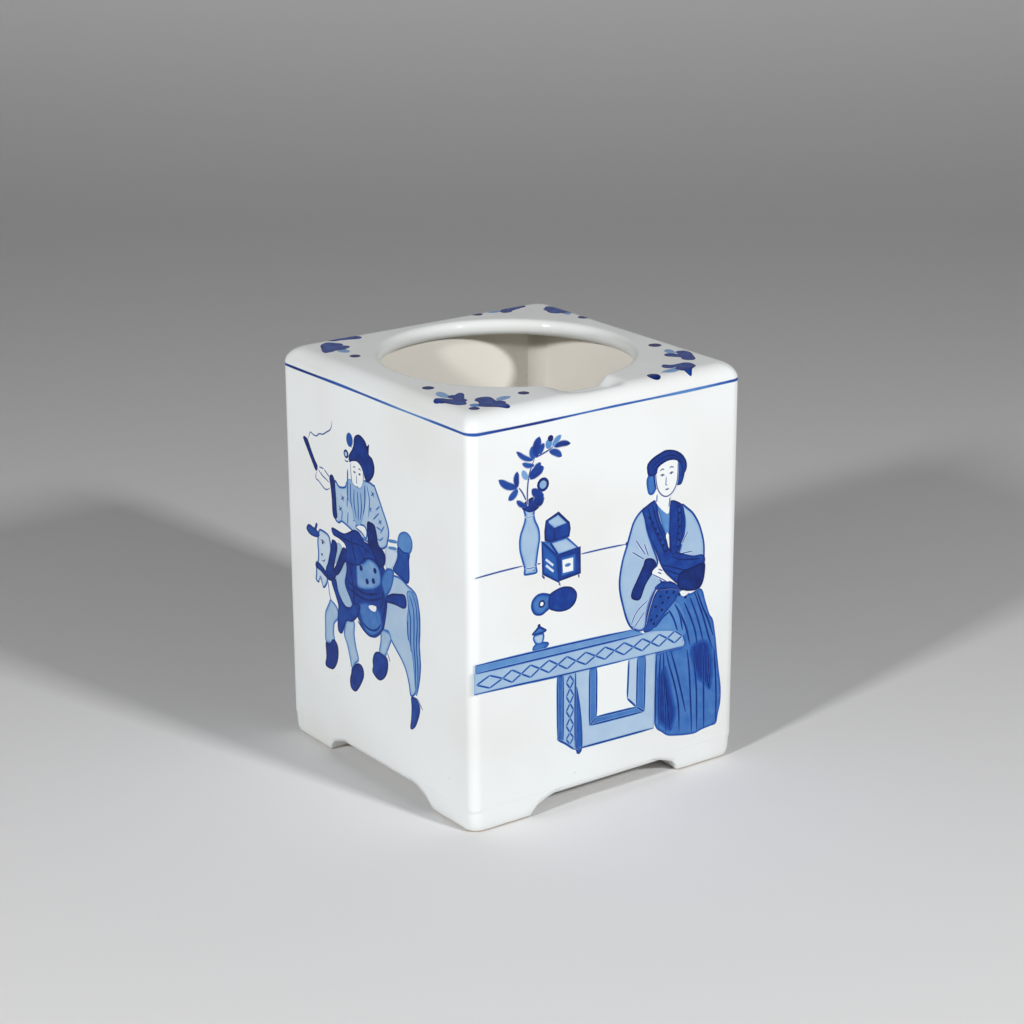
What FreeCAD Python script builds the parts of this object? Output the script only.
"""Square porcelain brush holder pot, slab built.

Four mitred walls, a floor slab and a top plate with one round mouth are luted together over soft clay
coils, and the box stands on four bracket feet. Sizes are in millimetres. +Z is up, -Y is the front,
and the origin is the middle of the footprint, on the surface that the feet stand on.
"""
import FreeCAD, Part
import math
import os

# Overall size, over the outer faces
WIDTH = 90.0
DEPTH = 90.0
HEIGHT = 114.5

# Slabs
WALL_THICKNESS = 5.0
BASE_THICKNESS = 5.0
PLATE_THICKNESS = 4.7
CORNER_RADIUS = 3.0
WALL_FOOT_RADIUS = 2.5

# The top plate's edge: a low upright band, then the round shoulder
BAND_HEIGHT = 0.2
SHOULDER_STEPS = 10

# Mouth: its radius is what a rim of this mean width leaves. Its middle stands a little behind and to the
# right of the pot's, which leaves room for the brush rest. Then the lip's section.
RIM_WIDTH = 10.5
MOUTH_SHIFT_RIGHT = 1.1
MOUTH_SHIFT_BACK = 2.3
LIP_UNDER_RADIUS = 2.6
LIP_THROAT_HEIGHT = 0.2

# Brush rest, a shallow trough across the front rim that rises towards the front
REST_WIDTH = 20.0
REST_DEPTH = 2.4
REST_OFFSET = -1.0
REST_RISE_DEG = 21.0

# Bracket feet
FOOT_HEIGHT = 4.4
FOOT_INSET = 1.5
FOOT_ARM_LENGTH = 18.0
FOOT_ARM_THICKNESS = 7.0
FOOT_CORNER_RADIUS = 5.0
FOOT_COVE_LENGTH = 4.4
FOOT_COVE_HOLLOW = 0.9

# Soft clay coils in the inside corners
COIL_LEG = 4.0
COIL_HOLLOW = 0.7

# Sizes that follow: the shoulder and the lip's roll take up what the plate's thickness leaves them
SHOULDER_RADIUS = PLATE_THICKNESS - BAND_HEIGHT
LIP_TOP_RADIUS = PLATE_THICKNESS - LIP_UNDER_RADIUS - LIP_THROAT_HEIGHT
MOUTH_RADIUS = min(WIDTH, DEPTH) / 2 - RIM_WIDTH

# Levels
BASE_TOP = FOOT_HEIGHT + BASE_THICKNESS
SEAM_LEVEL = HEIGHT - PLATE_THICKNESS
SHOULDER_LEVEL = HEIGHT - SHOULDER_RADIUS

# How far a cutting solid runs past what it cuts, and how near is the same place
OVERRUN = 20.0
TOUCH = 1e-6

SIDES = ("front", "right", "back", "left")
CORNERS = {"front_left": (-1, -1), "front_right": (1, -1), "back_right": (1, 1), "back_left": (-1, 1)}


def vector(x, y, z):
    """A point or a direction."""
    return FreeCAD.Vector(x, y, z)


def rectangle_corners(inset, z):
    """The corners of the outer rectangle drawn in by inset, anticlockwise from the front left."""
    half_x = WIDTH / 2 - inset
    half_y = DEPTH / 2 - inset
    return [vector(sx * half_x, sy * half_y, z) for sx, sy in CORNERS.values()]


def prism(points, height):
    """A straight solid over a polygon."""
    return Part.Face(Part.makePolygon(points + points[:1])).extrude(vector(0, 0, height))


def centred_box(inset, bottom, top):
    """An upright box between two levels, drawn in from the outer faces by inset."""
    return prism(rectangle_corners(inset, bottom), top - bottom)


def rounded_outline(inset, z):
    """The outer rectangle drawn in by inset, with round corners that keep their radius."""
    corners = rectangle_corners(inset, z)
    edges = []
    for index, corner in enumerate(corners):
        before = (corners[index - 1] - corner).normalize()
        after = (corners[(index + 1) % 4] - corner).normalize()
        middle = corner + (before + after) * (CORNER_RADIUS * (1 - math.sqrt(0.5)))
        start = corner + before * CORNER_RADIUS
        end = corner + after * CORNER_RADIUS
        edges.append(Part.Arc(start, middle, end).toShape())
        next_start = corners[(index + 1) % 4] - after * CORNER_RADIUS
        edges.append(Part.LineSegment(end, next_start).toShape())
    return Part.Wire(edges)


def side_region(side, reach):
    """The ring of depth reach inside the outer faces, cut at the corners: the part on one side."""
    outer = rectangle_corners(0, 0)
    inner = rectangle_corners(reach, 0)
    index = SIDES.index(side)
    after = (index + 1) % 4
    return prism([outer[index], outer[after], inner[after], inner[index]], HEIGHT)


def hollow_arc(start, end, towards, hollow):
    """The arc between two points that leaves their chord by hollow, on the side of a third point."""
    middle = (start + end) * 0.5
    chord = (end - start).normalize()
    offset = towards - middle
    offset = (offset - chord * offset.dot(chord)).normalize()
    return Part.Arc(start, middle + offset * hollow, end).toShape()


def polyline(points):
    """Straight edges from point to point."""
    return Part.makePolygon(points).Edges


def coil_section(corner, along_a, along_b):
    """A coil pressed into a corner: two straight legs, and a face that is hollow towards the corner."""
    end_a = corner + along_a * COIL_LEG
    end_b = corner + along_b * COIL_LEG
    hollow = hollow_arc(end_a, end_b, corner, COIL_HOLLOW)
    return Part.Face(Part.Wire(polyline([end_b, corner, end_a]) + [hollow]))


def edges_where(shape, test):
    """The shape's edges whose two ends both pass the test."""
    return [edge for edge in shape.Edges if all(test(vertex.Point) for vertex in edge.Vertexes)]


def wall_shell():
    """The four walls in one, round at the outer corners and along the lower outer edge."""
    outer = Part.Face(rounded_outline(0, FOOT_HEIGHT)).extrude(vector(0, 0, SEAM_LEVEL - FOOT_HEIGHT))
    lower = edges_where(outer, lambda point: abs(point.z - FOOT_HEIGHT) < TOUCH)
    rounded = outer.makeFillet(WALL_FOOT_RADIUS, lower)
    return rounded.cut(centred_box(WALL_THICKNESS, 0, HEIGHT))


def walls():
    """The four wall slabs, mitred where they meet."""
    shell = wall_shell()
    return {side + "_wall": shell.common(side_region(side, WALL_THICKNESS)) for side in SIDES}


def base_plate():
    """The floor slab, inside the walls and level with their lower edges."""
    return {"base_plate": centred_box(WALL_THICKNESS, FOOT_HEIGHT, BASE_TOP)}


def mouth_cutter():
    """The space in the mouth: an upright throat that opens out over the lip and under it."""
    lip = MOUTH_RADIUS + LIP_TOP_RADIUS
    under = MOUTH_RADIUS + LIP_UNDER_RADIUS
    bottom = SEAM_LEVEL - OVERRUN
    top = HEIGHT + OVERRUN
    below = [vector(0, 0, bottom), vector(under, 0, bottom), vector(under, 0, SEAM_LEVEL)]
    throat_foot = vector(MOUTH_RADIUS, 0, SEAM_LEVEL + LIP_UNDER_RADIUS)
    throat_head = vector(MOUTH_RADIUS, 0, HEIGHT - LIP_TOP_RADIUS)
    above = [vector(lip, 0, HEIGHT), vector(lip, 0, top), vector(0, 0, top), below[0]]
    bulge = 1 - math.sqrt(0.5)
    edges = polyline(below)
    edges.append(hollow_arc(below[-1], throat_foot, vector(0, 0, SEAM_LEVEL), LIP_UNDER_RADIUS * bulge))
    edges += polyline([throat_foot, throat_head])
    edges.append(hollow_arc(throat_head, above[0], vector(0, 0, HEIGHT), LIP_TOP_RADIUS * bulge))
    edges += polyline(above)
    cutter = Part.Face(Part.Wire(edges)).revolve(vector(0, 0, 0), vector(0, 0, 1), 360)
    return cutter.translate(vector(MOUTH_SHIFT_RIGHT, MOUTH_SHIFT_BACK, 0))


def rest_cutter():
    """A leaning cylinder that takes the brush rest out of the front rim."""
    radius = (REST_WIDTH ** 2 / 4 + REST_DEPTH ** 2) / (2 * REST_DEPTH)
    rise = math.radians(REST_RISE_DEG)
    edge = MOUTH_SHIFT_BACK - MOUTH_RADIUS - LIP_TOP_RADIUS / 2
    floor = vector(REST_OFFSET, edge, HEIGHT - REST_DEPTH)
    outward = vector(0, -math.cos(rise), math.sin(rise))
    centre = floor + vector(0, math.sin(rise), math.cos(rise)) * radius
    return Part.makeCylinder(radius, 2 * OVERRUN, centre - outward * OVERRUN, outward)


def top_plate():
    """The closed top: a slab with a round shoulder, the mouth, its lip and the brush rest."""
    sections = []
    for step in range(SHOULDER_STEPS + 1):
        angle = math.pi / 2 * step / SHOULDER_STEPS
        inset = SHOULDER_RADIUS * (1 - math.cos(angle))
        sections.append(rounded_outline(inset, SHOULDER_LEVEL + SHOULDER_RADIUS * math.sin(angle)))
    shoulder = Part.makeLoft(sections, True, False)
    band = Part.Face(rounded_outline(0, SEAM_LEVEL)).extrude(vector(0, 0, SHOULDER_LEVEL - SEAM_LEVEL))
    slab = band.fuse(shoulder).removeSplitter()
    return {"top_plate": slab.cut(mouth_cutter()).cut(rest_cutter())}


def foot_arm(corner, along, across):
    """One arm of a bracket foot: a low bar on the level z = 0, whose free end is coved."""
    up = vector(0, 0, FOOT_HEIGHT)
    ground_end = corner + along * FOOT_ARM_LENGTH
    upper_end = ground_end + along * FOOT_COVE_LENGTH + up
    cove = hollow_arc(ground_end, upper_end, corner + up, FOOT_COVE_HOLLOW)
    outline = polyline([upper_end, corner + up, corner, ground_end]) + [cove]
    return Part.Face(Part.Wire(outline)).extrude(across * FOOT_ARM_THICKNESS)


def feet():
    """The four bracket feet, each two coved arms that meet in a round corner."""
    shapes = {}
    for (place, (sx, sy)), corner in zip(CORNERS.items(), rectangle_corners(FOOT_INSET, 0)):
        along_x = vector(-sx, 0, 0)
        along_y = vector(0, -sy, 0)
        arms = foot_arm(corner, along_x, along_y).fuse(foot_arm(corner, along_y, along_x))
        bracket = arms.removeSplitter()
        outer = edges_where(bracket, lambda point: math.dist(point[:2], corner[:2]) < TOUCH)
        shapes["foot_" + place] = bracket.makeFillet(FOOT_CORNER_RADIUS, outer)
    return shapes


def corner_coils():
    """The upright coils over the luted wall seams, from the floor slab to the top plate."""
    shapes = {}
    for (place, (sx, sy)), corner in zip(CORNERS.items(), rectangle_corners(WALL_THICKNESS, BASE_TOP)):
        section = coil_section(corner, vector(-sx, 0, 0), vector(0, -sy, 0))
        shapes["corner_coil_" + place] = section.extrude(vector(0, 0, SEAM_LEVEL - BASE_TOP))
    return shapes


def base_coils(uprights):
    """The coils along the foot of each wall, mitred at the corners and fitted to the upright coils."""
    shapes = {}
    corners = rectangle_corners(WALL_THICKNESS, BASE_TOP)
    for index, side in enumerate(SIDES):
        start = corners[index]
        run = corners[(index + 1) % 4] - start
        inward = vector(0, 0, 1).cross(run).normalize()
        bar = coil_section(start, inward, vector(0, 0, 1)).extrude(run)
        fitted = bar.common(side_region(side, WALL_THICKNESS + COIL_LEG))
        shapes["base_coil_" + side] = fitted.cut(list(uprights.values()))
    return shapes


def main():
    """Build every piece and write each one to its own file."""
    uprights = corner_coils()
    pieces = {**walls(), **top_plate(), **base_plate(), **feet(), **uprights, **base_coils(uprights)}
    os.makedirs("parts", exist_ok=True)
    for name, shape in pieces.items():
        solid = shape.Solids[0]
        solid.exportStep("parts/" + name + ".step")
        print(name, "solids:", len(shape.Solids), "valid:", shape.isValid(), "mm3:", round(shape.Volume))


main()
